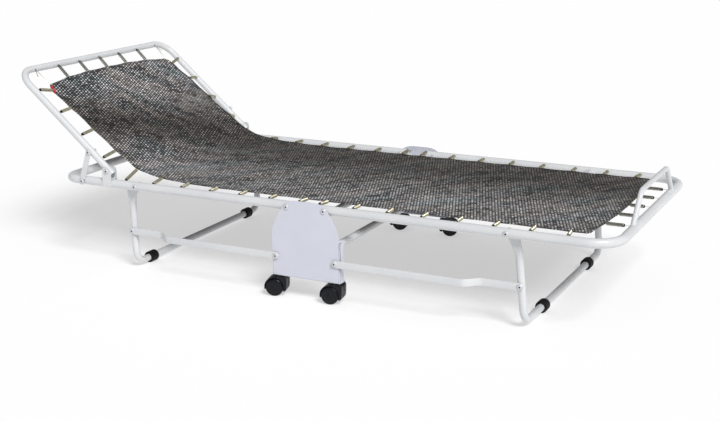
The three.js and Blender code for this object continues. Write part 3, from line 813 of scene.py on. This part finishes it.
def bolt(node, body, collar=None):
    """A low domed head with a socket, a shank, and a hexagon nut on its inner end."""
    low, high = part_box(node)
    at = middle(node)
    side = 1 if at.y > 0 else -1
    outer, inner = max(abs(low.y), abs(high.y)), min(abs(low.y), abs(high.y))
    head_r = (high.z - low.z) / 2
    head, shank, socket, nut = 3 * MM, 4 * MM, 2.3 * MM, 5.5 * MM
    seat = outer - head
    profile = [
        (0, inner), (shank - 0.7 * MM, inner), (shank, inner + 0.7 * MM), (shank, seat), (head_r, seat),
        (head_r, seat + 0.7 * MM), (head_r * 0.93, seat + 1.4 * MM), (head_r * 0.7, seat + 2.4 * MM),
        (socket + 0.9 * MM, outer), (socket, outer - 0.3 * MM), (socket * 0.86, seat + 0.8 * MM),
        (0, seat + 0.8 * MM),
    ]
    place = facing(Vector((at.x, 0, at.z)), Vector((0, side, 0)))
    bm = bmesh.new()
    # The socket's faces take the near-black material: painted shade in the recess.
    lathe(bm, profile, place, 36, [0] * 9 + [1, 1])
    pressed(bm, circle(6.5 * MM, 6), place, inner + 0.9 * MM, inner + nut, 0.5 * MM, 2)
    if collar:
        radius, start, finish = collar
        lathe(bm, [(shank, start), (radius, start), (radius, finish), (shank, finish)], place, 28)
    piece(f"{node}_plated", bm, [BOLT, PAINTED_SHADE_AND_DARK_PARTS], body, node)


def edge_screw(end, name):
    """A small pan-head screw in a side flange."""
    node = f"cross_tube_screw_{end}_{name}"
    low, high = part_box(node)
    at = middle(node)
    sign = ENDS[end]
    base = Vector((low.x if sign > 0 else high.x, at.y, at.z))
    length, head_r = high.x - low.x, extent(node).z / 2
    seat = length - 2 * MM
    profile = [
        (0, 0), (2 * MM, 0), (2 * MM, seat), (head_r, seat), (head_r, seat + 0.8 * MM),
        (head_r * 0.75, seat + 1.7 * MM), (1.3 * MM, length), (1.0 * MM, seat + 0.9 * MM),
        (0, seat + 0.9 * MM),
    ]
    bm = bmesh.new()
    # The recess in the head takes the near-black material: painted shade.
    lathe(bm, profile, facing(base, Vector((sign, 0, 0))), 24, [0] * 6 + [1, 1])
    piece(f"{node}_plated", bm, [BOLT, PAINTED_SHADE_AND_DARK_PARTS], "root", node)


def sleeve(end, name):
    """A rubber foot on the leg's floor run: a thick ring with rounded lips and two shallow grooves."""
    node = f"{end}_leg_sleeve_{name}"
    low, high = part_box(node)
    at = middle(node)
    half, outer, bore, lip = (high.y - low.y) / 2, (high.z - low.z) / 2, THIN_R + 0.15 * MM, 3.2 * MM
    profile = [(bore, -half), (outer - lip, -half), *arc(outer - lip, lip - half, lip, -90, 0, 5)]
    groove = in_mm((0, -1.3), (0.7, -0.6), (0.7, 0.6), (0, 1.3))
    for at_y in (-5 * MM, 5 * MM):
        profile += [(outer - deep, at_y + along) for deep, along in groove]
    profile += [*arc(outer - lip, half - lip, lip, 0, 90, 5), (bore, half), (bore, -half)]
    bm = bmesh.new()
    lathe(bm, profile, facing(at, Vector((0, 1, 0))), 40)
    bmesh.ops.remove_doubles(bm, verts=bm.verts, dist=1e-7)
    piece(f"{node}_rubber", bm, RUBBER, f"{end}_leg", node)


HOOD = {"gap": 1.0 * MM, "wall": 2.5 * MM, "rear": -15, "front": 105, "front_x": -15 * MM, "neck_x": 7 * MM}
WHEEL_FACE = 22.5 * MM
WHEEL_INNER = 8.5 * MM


def caster_place(end, name):
    swivel = pivot(f"caster_swivel_{end}_{name}")
    axle = pivot(f"wheel_spin_{end}_{name}")
    trail = Vector((axle.x - swivel.x, axle.y - swivel.y, 0))
    turn = Matrix.Rotation(atan2(trail.y, trail.x), 4, "Z")
    return Matrix.Translation((swivel.x, swivel.y, 0)) @ turn, trail.length, axle.z


def caster_hood(end, name):
    """A web between the wheels, with a full-width visor over them and a block in front."""
    node = f"caster_hood_{end}_{name}"
    place, trail, axle_z = caster_place(end, name)
    upright = place @ UPRIGHT
    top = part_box(f"side_plate_{name}")[0].z - 1.5 * MM
    well = axle_z + HOOD["gap"]
    shell = well + HOOD["wall"]
    front_x, neck_x, chin = HOOD["front_x"], HOOD["neck_x"], (-8 * MM, 14 * MM)
    brow = (front_x, top - 10 * MM)
    over = arc(trail, axle_z, shell, HOOD["rear"], HOOD["front"], 22)
    over += [(neck_x, top), (-neck_x, top)]
    over += curve((-neck_x, top), (front_x + 3 * MM, top), (front_x, top - 4 * MM), brow, 6)
    over += curve(brow, (front_x, 26 * MM), (front_x, 15 * MM), chin, 6)
    under = arc(trail, axle_z, well, HOOD["rear"], 203, 30)[::-1]
    web_y = WHEEL_INNER - 0.8 * MM
    visor_y = WHEEL_FACE - HOOD["wall"]
    bm = bmesh.new()
    pressed(bm, over + under, upright, -visor_y, visor_y, 1.1 * MM, 4)
    pressed(bm, over, upright, -web_y, web_y, 0.6 * MM, 2)
    stem = in_mm((0, -2), (9, -2), (9, -1.1), (5.5, 0), (4, 0.4), (4, 8), (3.2, 9), (0, 9))
    lathe(bm, stem, place @ Matrix.Translation((0, 0, top + 0.6 * MM)), 24, [1] * 7)
    piece(f"{node}_moulding", bm, [PLASTIC, BOLT], f"caster_{end}_{name}", node, flat_faces=True)


def caster_wheels(end, name):
    """Two wheels on one axle, each with a crowned tread, a stepped disc and a raised hub."""
    node = f"caster_wheels_{end}_{name}"
    place, trail, axle_z = caster_place(end, name)
    radius = extent(node).z / 2
    back = [(radius - a, WHEEL_INNER + b) for a, b in in_mm((1.6, 0), (0.5, 0.7), (0, 2.4))]
    tread = in_mm((0, 5.0), (0.7, 2.4), (2.2, 0.9), (3.6, 0.5), (4.1, 1.1), (4.9, 0.9))
    hub = in_mm((12, 0.25), (6.4, 0.1), (6.0, 0.7), (5.2, 0.6), (4.6, 0.05))
    disc = [(3 * MM, WHEEL_INNER), *back, *[(radius - a, WHEEL_FACE - b) for a, b in tread],
            *[(a, WHEEL_FACE - b) for a, b in hub]]
    profile = [(0, -WHEEL_FACE), *[(r, -y) for r, y in disc[::-1]], *disc, (0, WHEEL_FACE)]
    bm = bmesh.new()
    lathe(bm, profile, place @ Matrix.Translation((trail, 0, axle_z)) @ UPRIGHT, 48)
    piece(f"{node}_moulding", bm, PLASTIC, f"wheels_{end}_{name}", node)


for name, side in SIDES.items():
    side_plate(name, side)
    hinge_bracket(name)
    prop(name)
    bolt(f"hinge_bolt_{name}", "head_half")
    bolt(f"prop_pin_{name}", "head_half")
    prop_face = max(side * corner.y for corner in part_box(f"prop_{name}"))
    bolt(f"prop_bolt_{name}", "backrest", (6 * MM, BACK_Y + BACK_R + 0.4 * MM, prop_face - 3.4 * MM))
    for end in ENDS:
        link_bar(end, name, side)
        sleeve(end, name)
        edge_screw(end, name)
        caster_hood(end, name)
        caster_wheels(end, name)
        bolt(f"fold_pivot_bolt_{end}_{name}", "root")
        bolt(f"link_pivot_bolt_{end}_{name}", "root")
        bolt(f"{end}_leg_pivot_bolt_{name}", f"{end}_half")
        bolt(f"{end}_leg_link_bolt_{name}", f"{end}_leg")


# ---------- stretched fabric

SLING_LINE = [on_backrest(up, above) for up, above in in_mm(
    (361, 3), (300, 6), (214, 14.5), (120, 20), (40, 26), (0, 30))]
SLING_LINE += [Vector((x, 0, z)) for x, z in (
    (-0.535, 0.2940), (-0.485, 0.2788), (-0.425, 0.2702), (-0.350, 0.2655), (-0.250, 0.2632),
    (-0.100, 0.2630), (0.200, 0.2630), (0.500, 0.2630), (0.836, 0.2630))]
CLOTH_HALF = 0.6 * MM
HEM_HALF = 1.3 * MM
# Rows of vertices in from an edge of the sling.
HEM_STEPS = [step * MM for step in (0, 1.5, 4, 7.5, 10.4, 11.6, 14, 19, 26)]
BACK_LIFT = 12 * MM                    # height above the backrest's tubes where its springs pull
SPRING_PITCH = 96 * MM
SIDE_SCALLOP, END_SCALLOP = 4.5 * MM, 3.0 * MM         # how far an edge draws in between its springs
HEAD_BOW, FOOT_BOW = (24 * MM, 2.6), (21 * MM, 2.0)    # depth at the corners, and power of the curve
END_REACH = 0.13                       # the bow of the head and foot edges dies out over this length
SPRING_SAG, MIDDLE_SAG = 2.4 * MM, 4.0 * MM            # dips between springs, and along the middle
RIPPLE = 0.5 * MM


def smooth_line(points, step):
    """Points of a centripetal spline through the given ones, at an even spacing of about one step."""
    padded = [2 * points[0] - points[1], *points, 2 * points[-1] - points[-2]]
    dense = []
    for p0, p1, p2, p3 in zip(padded, padded[1:], padded[2:], padded[3:]):
        t1 = (p1 - p0).length ** 0.5
        t2 = t1 + (p2 - p1).length ** 0.5
        t3 = t2 + (p3 - p2).length ** 0.5
        for i in range(60):
            t = t1 + (t2 - t1) * i / 60
            a1, a2 = p0.lerp(p1, t / t1), p1.lerp(p2, (t - t1) / (t2 - t1))
            a3 = p2.lerp(p3, (t - t2) / (t3 - t2))
            b1, b2 = a1.lerp(a2, t / t2), a2.lerp(a3, (t - t1) / (t3 - t1))
            dense.append(b1.lerp(b2, (t - t1) / (t2 - t1)))
    dense.append(points[-1])
    even, gone, since = [dense[0]], 0.0, 0.0
    for before, after in zip(dense, dense[1:]):
        span = (after - before).length
        while since + step <= gone + span:
            since += step
            even.append(before.lerp(after, (since - gone) / span))
        gone += span
    even.append(dense[-1])
    return even


LINE_STEP = 4 * MM
LINE = smooth_line(SLING_LINE, LINE_STEP)
LINE_LENGTH = LINE_STEP * (len(LINE) - 1)


def line_at(along):
    """(point, direction) of the sling's middle line at a distance from its head edge."""
    at = min(max(along / LINE_STEP, 0.0), len(LINE) - 1.001)
    i = int(at)
    before, after = LINE[max(i - 1, 0)], LINE[min(i + 2, len(LINE) - 1)]
    return LINE[i].lerp(LINE[i + 1], at - i), (after - before).normalized()


def along_nearest(point):
    return LINE_STEP * min(range(len(LINE)), key=lambda i: (LINE[i] - point).length)


def along_x(x):
    return along_nearest(Vector((x, 0, SEAT_Z)))


def along_back(up):
    return along_nearest(on_backrest(up, BACK_LIFT))


SPRING_LINES = sorted([along_back(up) for up in BACK_SIDE_HOLES]
                      + [along_x(x) for end in ENDS for x in RAIL_HOLES[end]])


def between(value, marks, pitch):
    """0 at each mark and 1 half way between neighbours."""
    below = max((m for m in marks if m <= value), default=min(marks) - pitch)
    above = min((m for m in marks if m > value), default=max(marks) + pitch)
    return abs(sin(pi * (value - below) / (above - below)))


def end_trim(across, from_end, marks, bow, power):
    """How far a row near the head or foot edge is set in at a place across the sling."""
    curved = bow * (abs(across) / FABRIC_Y) ** power
    fade = max(0.0, 1 - from_end / END_REACH) ** 1.5
    return (curved + END_SCALLOP * between(across, marks, 100 * MM)) * fade


def half_width(along):
    """Half the sling's width: cusps at the springs, and narrowed, rounded corners at its ends."""
    width = FABRIC_Y + 2.5 * MM - SIDE_SCALLOP * between(along, SPRING_LINES, SPRING_PITCH)
    for from_end, narrow, reach, corner in ((along, 11 * MM, 60 * MM, 9 * MM),
                                            (LINE_LENGTH - along, -4 * MM, 200 * MM, 16 * MM)):
        width -= narrow * max(0.0, 1 - from_end / reach) ** 2
        if from_end < corner:
            width -= corner - sqrt(max(corner ** 2 - (corner - from_end) ** 2, 0.0))
    return width


def cloth_point(along, share):
    """(point, upward normal, position along, position across) for a share from -1 to 1 of the width."""
    across = half_width(along) * share
    from_foot = LINE_LENGTH - along
    row = (along + end_trim(across, along, BACK_TOP_HOLES, *HEAD_BOW)
           - end_trim(across, from_foot, CROSSBAR_HOLES, *FOOT_BOW))
    place, way = line_at(row)
    normal = Vector((-way.z, 0, way.x))
    slack = between(along, SPRING_LINES, SPRING_PITCH) ** 0.8
    ends = ease(min(along, from_foot), 0.0, 0.10)
    sag = (SPRING_SAG * slack * (1 - 0.6 * share ** 2) + MIDDLE_SAG * (1 - share ** 2)) * ends
    ripple = RIPPLE * sin(across * 95 + 2.2 * sin(along * 7)) * (1 - share ** 6) * ends
    return place + Vector((0, across, 0)) + normal * (ripple - sag), normal, row, across


def cloth_shares():
    """Places across the sling, closer together at the hems."""
    edge = [d / FABRIC_Y for d in HEM_STEPS]
    inner = 1 - 35 * MM / FABRIC_Y
    count = 44
    middle_part = [inner * (2 * i / count - 1) for i in range(count + 1)]
    return [-(1 - e) for e in edge] + middle_part + [1 - e for e in edge[::-1]]


def cloth(name, start, finish):
    """A closed piece of the sling between two places along it, with double thickness at its hems."""
    at_head, at_foot = start <= 0, finish >= LINE_LENGTH
    low = start + (HEM_STEPS[-1] if at_head else 0)
    high = finish - (HEM_STEPS[-1] if at_foot else 0)
    count = max(2, round((high - low) / (9 * MM)))
    rows = [low + (high - low) * i / count for i in range(count + 1)]
    rows = ([start + d for d in HEM_STEPS[:-1]] if at_head else []) + rows
    rows += [finish - d for d in HEM_STEPS[-2::-1]] if at_foot else []
    shares = cloth_shares()
    bm = bmesh.new()
    uv = bm.loops.layers.uv.new("UVMap")
    hem = bm.verts.layers.float.new("hem")
    places = {}
    grids = {1: [], -1: []}
    for along in rows:
        for grid in grids.values():
            grid.append([])
        for share in shares:
            point, normal, u, v = cloth_point(along, share)
            edge = min((1 - abs(share)) * FABRIC_Y, along if at_head else 1.0,
                       LINE_LENGTH - along if at_foot else 1.0)
            hemmed = 1 - ease(edge, 10.2 * MM, 12.2 * MM)
            half = CLOTH_HALF + (HEM_HALF - CLOTH_HALF) * hemmed
            if edge < 0.5 * MM:
                half *= 0.45
            for face, grid in grids.items():
                made = bm.verts.new(point + normal * (half * face))
                made[hem] = hemmed
                places[made] = (u, v)
                grid[-1].append(made)
    for face, grid in grids.items():
        for i in range(len(rows) - 1):
            for j in range(len(shares) - 1):
                corners = (grid[i][j], grid[i + 1][j], grid[i + 1][j + 1], grid[i][j + 1])
                bm.faces.new(corners if face > 0 else corners[::-1])
    last_row, last_share = len(rows) - 1, len(shares) - 1
    around = [(0, j) for j in range(last_share)] + [(i, last_share) for i in range(last_row)]
    around += [(last_row, j) for j in range(last_share, 0, -1)] + [(i, 0) for i in range(last_row, 0, -1)]
    for (i, j), (k, m) in zip(around, around[1:] + around[:1]):
        bm.faces.new((grids[1][i][j], grids[1][k][m], grids[-1][k][m], grids[-1][i][j]))
    for face in bm.faces:
        for loop in face.loops:
            loop[uv].uv = places[loop.vert]
    return piece(name, bm, MESH)


BACK_CUT = along_x(-0.30)
FOLD_CUT = along_x(CENTRE_X)
back_cloth = cloth("sling_back", 0.0, BACK_CUT)
head_cloth = cloth("sling_head", BACK_CUT, FOLD_CUT)
foot_cloth = cloth("sling_foot", FOLD_CUT, LINE_LENGTH)
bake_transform(back_cloth)
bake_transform(head_cloth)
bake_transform(foot_cloth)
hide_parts("fabric_backrest", "fabric_head")
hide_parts("fabric_centre")
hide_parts("fabric_foot")


# ---------- springs

WIRE_R = 0.65 * MM
COIL_R = 4.4 * MM
COIL_PITCH = 1.7 * MM
COIL_STEPS = 9                         # points on one turn
HOOK_DEPTH = 2.5 * MM                  # how far a wire's end goes into its hole
CORNER_WIRE_R = 1.0 * MM


def wire(bm, path, radius, count=6):
    """A round wire through points in space, carried along without twisting."""
    ways = tangents(path)
    across = ways[0].orthogonal().normalized()
    rings = []
    for point, way in zip(path, ways):
        across = (across - way * across.dot(way)).normalized()
        rings.append(ring_at(bm, point, across, way.cross(across), radius, count))
    bridge(bm, rings, closed_ends=True)


def tension_spring(bm, hole, outward, eye, up, lead):
    """A close-wound coil with a dark plug, hooked into a hole in the tube and through an eyelet."""
    length = (eye - hole).length
    way = (eye - hole) / length
    beside = way.cross(up).normalized()
    lift = beside.cross(way).normalized()
    coil = length - 4.0 * MM - lead
    steps = int(coil / COIL_PITCH) * COIL_STEPS
    path = [hole - outward * HOOK_DEPTH, hole + outward * 0.6 * MM,
            hole + way * (lead - 2.3 * MM) + lift * 0.4 * MM]
    for i in range(steps + 1):
        turn = 2 * pi * i / COIL_STEPS
        at = lead + coil * i / steps
        grow = min(1.0, i / COIL_STEPS, (steps - i) / COIL_STEPS)
        offset = beside * sin(turn) + lift * cos(turn)
        path.append(hole + way * at + offset * (COIL_R * (0.35 + 0.65 * grow)))
    path += [eye + way * ahead + lift * above
             for ahead, above in in_mm((-2.5, 1.2), (0, 2.4), (3.4, 1.4), (3.6, -1.6), (0, -2.6))]
    wire(bm, path, WIRE_R)
    plug = COIL_R - 0.35 * MM
    profile = [(0, 0), (plug * 0.7, 0), (plug, 0.8 * MM), (plug, 6 * MM), (plug - 1 * MM, 6.6 * MM),
               (0, 6.6 * MM)]
    lathe(bm, profile, facing(hole + way * (lead - 2.1 * MM), way), 12, [1] * 5)


def eyelet(bm, point, normal):
    """A dark ring where a hook goes through the hem."""
    profile = in_mm((1.3, -2.0), (2.9, -1.8), (3.3, 0), (2.9, 1.8), (1.3, 2.0), (1.3, -2.0))
    lathe(bm, profile, facing(point, normal), 14, [1] * 5)


EYE_INSET = 6 * MM


def spring_group(name, hooks, body=None, across=None, metal=SPRING, lead=5.5 * MM):
    """One piece with several springs; a hook is (hole, outward, along the sling, share of its width)."""
    bm = bmesh.new()
    for hole, outward, along, share in hooks:
        eye, normal, _, _ = cloth_point(along, share)
        tension_spring(bm, hole, outward, eye, normal, lead)
        eyelet(bm, eye, normal)
    bmesh.ops.remove_doubles(bm, verts=bm.verts, dist=1e-7)
    made = piece(name, bm, [metal, PAINTED_SHADE_AND_DARK_PARTS], body)
    if across:
        cloth_point(*hooks[0][2:])[0]
        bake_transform(made)


def side_hook(hole, along, side):
    return (*hole, along, side * (1 - EYE_INSET / half_width(along)))


def end_hook(hole, along, y):
    return (*hole, along, y / half_width(along))


for name, side in SIDES.items():
    for end in ENDS:
        hooks = [side_hook(rail_hole(x, side, rail_tilt(i)), along_x(x), side)
                 for i, x in enumerate(RAIL_HOLES[end])]
        spring_group(f"springs_{end}_{name}", hooks[1:], f"{end}_half")
        spring_group(f"spring_fold_{end}_{name}", hooks[:1], across=(f"{end}_half", "root"))
    hooks = [side_hook(back_side_hole(up, side), along_back(up), side) for up in BACK_SIDE_HOLES]
    spring_group(f"springs_backrest_{name}", hooks, "backrest")
hooks = [end_hook(crossbar_hole(y), LINE_LENGTH - EYE_INSET, y) for y in CROSSBAR_HOLES]
spring_group("springs_crossbar", hooks, "foot_half", metal=STEEL, lead=14 * MM)
hooks = [end_hook(back_top_hole(y), EYE_INSET, y) for y in BACK_TOP_HOLES]
spring_group("springs_headbar", hooks, "backrest", metal=STEEL)


def corner_wire(name, side):
    """A plain long hook from the backrest's top bar to the sling's corner, with a short spare beside it."""
    hole, outward = back_top_hole(side * CORNER_WIRE_Y)
    inset = 9 * MM
    eye, normal, _, _ = cloth_point(inset, side * (1 - inset / FABRIC_Y))
    way = (eye - hole).normalized()
    spare = (way + Vector((0, side * 0.55, 0))).normalized()
    root = [hole - outward * HOOK_DEPTH, hole + outward * 1.0 * MM]
    bm = bmesh.new()
    wire(bm, [*root, hole.lerp(eye, 0.5) + normal * 0.6 * MM, eye + normal * 2 * MM, eye + way * 4 * MM,
              eye + way * 3 * MM - normal * 2 * MM], CORNER_WIRE_R)
    wire(bm, [*root, hole + spare * 14 * MM, hole + spare * 27 * MM - normal * 2 * MM,
              hole + spare * 30 * MM + normal * 1 * MM], CORNER_WIRE_R)
    eyelet(bm, eye, normal)
    piece(f"corner_wire_{name}", bm, [STEEL, PAINTED_SHADE_AND_DARK_PARTS], "backrest")


for name, side in SIDES.items():
    corner_wire(name, side)


def corner_tag():
    """A small folded tab sewn over the sling's edge at its near head corner."""
    bm = bmesh.new()
    start, finish, side, steps = 12 * MM, 44 * MM, -1, 8
    # (inset from the sling's edge, height above its middle) round the folded tab
    over = in_mm((11, 1.9), (6, 2.0), (1, 1.9), (-1.2, 0.9))
    loop = over + [(inset, -lift) for inset, lift in over[::-1]]
    rows = []
    for i in range(steps + 1):
        along = start + (finish - start) * i / steps
        row = []
        for inset, lift in loop:
            point, normal, _, _ = cloth_point(along, side * (1 - max(inset, 0.0) / half_width(along)))
            row.append(bm.verts.new(point + normal * lift + Vector((0, side * max(-inset, 0.0), 0))))
        rows.append(row)
    bridge(bm, rows, closed_ends=True)
    piece("sling_corner_tag", bm, TAG, "backrest")


corner_tag()


# ---------- floor, light and camera

def stage_floor():
    """A white floor that glows a little, as a lit backdrop does, so shadows stay pale."""
    half = 40.0
    bm = bmesh.new()
    bm.faces.new([bm.verts.new((x * half, y * half, 0)) for x, y in ((-1, -1), (1, -1), (1, 1), (-1, 1))])
    floor = meshed("floor", bm)
    s = Shader("studio_floor", Roughness=0.9, Specular_IOR_Level=0.0, Emission_Strength=0.51)
    s.bsdf.inputs["Base Color"].default_value = (0.52, 0.52, 0.52, 1)
    s.bsdf.inputs["Emission Color"].default_value = (1.0, 0.99, 0.995, 1)
    floor.data.materials.append(s.material)


def studio():
    """Even light from all round, and one very broad key from above the foot end's near corner."""
    key_way = Vector((-0.74, 0.60, -1.0))
    world = bpy.data.worlds.new("studio")
    bpy.context.scene.world = world
    world.use_nodes = True
    background = world.node_tree.nodes["Background"]
    background.inputs["Color"].default_value = (0.98, 0.99, 1.0, 1)
    background.inputs["Strength"].default_value = 0.26
    data = bpy.data.lights.new("key", "SUN")
    data.angle = radians(22)
    data.energy = 2.95
    added("key", data).rotation_euler = key_way.to_track_quat("-Z", "Y").to_euler()
    bpy.context.scene.view_settings.view_transform = "Standard"


def camera():
    """Stands at the foot end, on the sleeper's right, and looks slightly down."""
    stand = (1.61298, -3.17677, 1.11057)
    yaw, pitch, roll = (radians(a) for a in (26.385, -15.08, -0.258))
    data = bpy.data.cameras.new("camera")
    data.sensor_width = 36
    data.lens = 62.13
    made = added("camera", data)
    made.matrix_world = (Matrix.Translation(stand) @ Matrix.Rotation(yaw, 4, "Z")
                         @ Matrix.Rotation(pi / 2 + pitch, 4, "X") @ Matrix.Rotation(roll, 4, "Z"))
    bpy.context.scene.camera = made


stage_floor()
studio()
camera()
